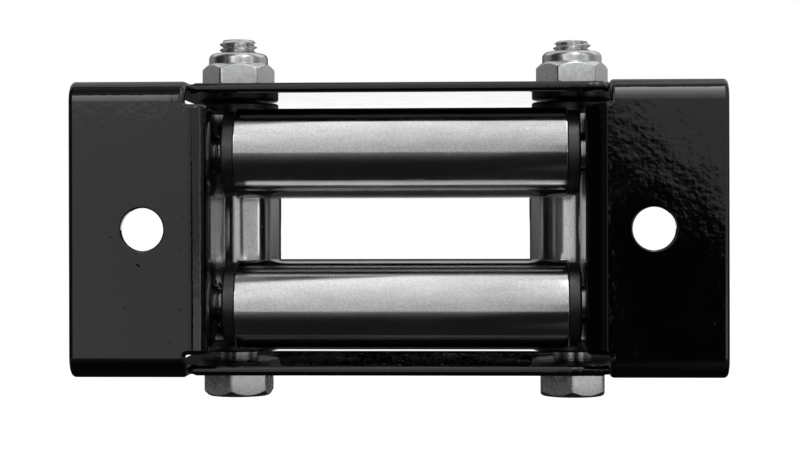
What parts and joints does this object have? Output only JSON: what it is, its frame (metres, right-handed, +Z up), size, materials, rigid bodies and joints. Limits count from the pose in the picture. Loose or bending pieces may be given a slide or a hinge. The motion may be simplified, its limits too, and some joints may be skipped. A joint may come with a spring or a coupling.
{
  "type": "roller fairlead",
  "caption": "Small winch roller fairlead: bent black sheet frame with two bolt-on ears, rollers lying and standing round a rope window.",
  "frame": {"origin": "on the mounting face, midway between the two mounting holes", "axes": "+X along the line of the two holes, +Y back from the mounting face through the rope window, +Z up, to the nut side of the standing bolts"},
  "size_m": [0.16, 0.064, 0.0951],
  "materials": {
    "black_paint": "gloss",
    "roller_steel": "satin",
    "zinc_plate": "satin",
    "black_nylon": "satin",
    "nylon_ring": "satin"
  },
  "bodies": {
    "frame": {"frame": "black_paint", "upper_roller_bolt": "zinc_plate", "upper_roller_nut": "zinc_plate", "upper_roller_nut_insert": "nylon_ring", "lower_roller_bolt": "zinc_plate", "lower_roller_nut": "zinc_plate", "lower_roller_nut_insert": "nylon_ring", "left_roller_bolt": "zinc_plate", "left_roller_nut": "zinc_plate", "left_roller_nut_insert": "nylon_ring", "left_roller_washer_bottom": "zinc_plate", "left_roller_washer_top": "zinc_plate", "right_roller_bolt": "zinc_plate", "right_roller_nut": "zinc_plate", "right_roller_nut_insert": "nylon_ring", "right_roller_washer_bottom": "zinc_plate", "right_roller_washer_top": "zinc_plate"},
    "upper_roller": {"upper_roller_tube": "roller_steel", "upper_roller_bushing_right": "black_nylon", "upper_roller_bushing_left": "black_nylon"},
    "lower_roller": {"lower_roller_tube": "roller_steel", "lower_roller_bushing_right": "black_nylon", "lower_roller_bushing_left": "black_nylon"},
    "left_roller": {"left_roller_tube": "roller_steel", "left_roller_bushing_top": "black_nylon", "left_roller_bushing_bottom": "black_nylon"},
    "right_roller": {"right_roller_tube": "roller_steel", "right_roller_bushing_top": "black_nylon", "right_roller_bushing_bottom": "black_nylon"}
  },
  "joints": [
    {"name": "upper_roller_spin", "type": "hinge", "parent": "frame", "child": "upper_roller", "pos_m": [0, 0.02, 0.019], "axis": [1, 0, 0], "continuous": true},
    {"name": "lower_roller_spin", "type": "hinge", "parent": "frame", "child": "lower_roller", "pos_m": [0, 0.02, -0.019], "axis": [1, 0, 0], "continuous": true},
    {"name": "left_roller_spin", "type": "hinge", "parent": "frame", "child": "left_roller", "pos_m": [-0.0447, 0.05, 0], "axis": [0, 0, 1], "continuous": true},
    {"name": "right_roller_spin", "type": "hinge", "parent": "frame", "child": "right_roller", "pos_m": [0.0447, 0.05, 0], "axis": [0, 0, 1], "continuous": true}
  ]
}
